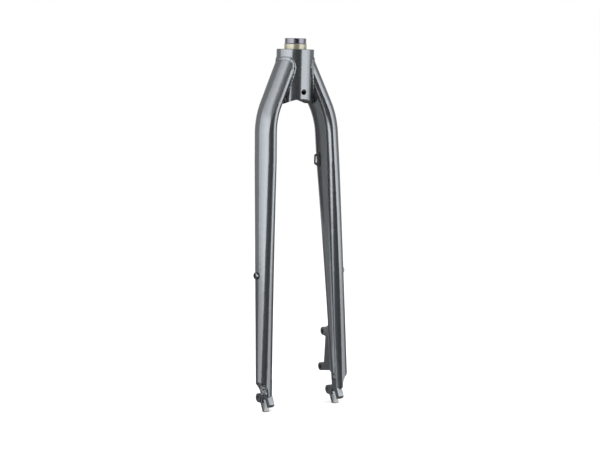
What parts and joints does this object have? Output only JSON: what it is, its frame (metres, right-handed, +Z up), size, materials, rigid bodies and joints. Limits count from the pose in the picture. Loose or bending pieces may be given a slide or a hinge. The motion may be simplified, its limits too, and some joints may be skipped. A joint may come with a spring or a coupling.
{
  "type": "rigid bicycle fork",
  "caption": "Rigid welded front fork with tapered legs, slotted dropouts, disc brake mount and a short steerer stub.",
  "frame": {"origin": "steerer axis at the top face of the crown, where the crown race seats", "axes": "+Z up the steerer, -Y to the front of the bicycle, +X to the rider's left, the disc side"},
  "size_m": [0.1386, 0.0772, 0.4933],
  "materials": {
    "graphite_paint": "glossy metallic graphite grey paint over welded aluminium",
    "steerer_steel": "bright turned steel, with a pale gold plated seat"
  },
  "bodies": {
    "root": {"crown_tube": "graphite_paint", "left_leg": "graphite_paint", "right_leg": "graphite_paint", "left_dropout": "graphite_paint", "right_dropout": "graphite_paint", "left_crown_weld": "graphite_paint", "right_crown_weld": "graphite_paint", "left_dropout_weld": "graphite_paint", "right_dropout_weld": "graphite_paint", "disc_brake_mount": "graphite_paint", "disc_mount_weld": "graphite_paint", "left_rack_boss": "graphite_paint", "right_rack_boss": "graphite_paint", "hose_guide": "graphite_paint", "steerer_tube": "steerer_steel"}
  },
  "joints": []
}
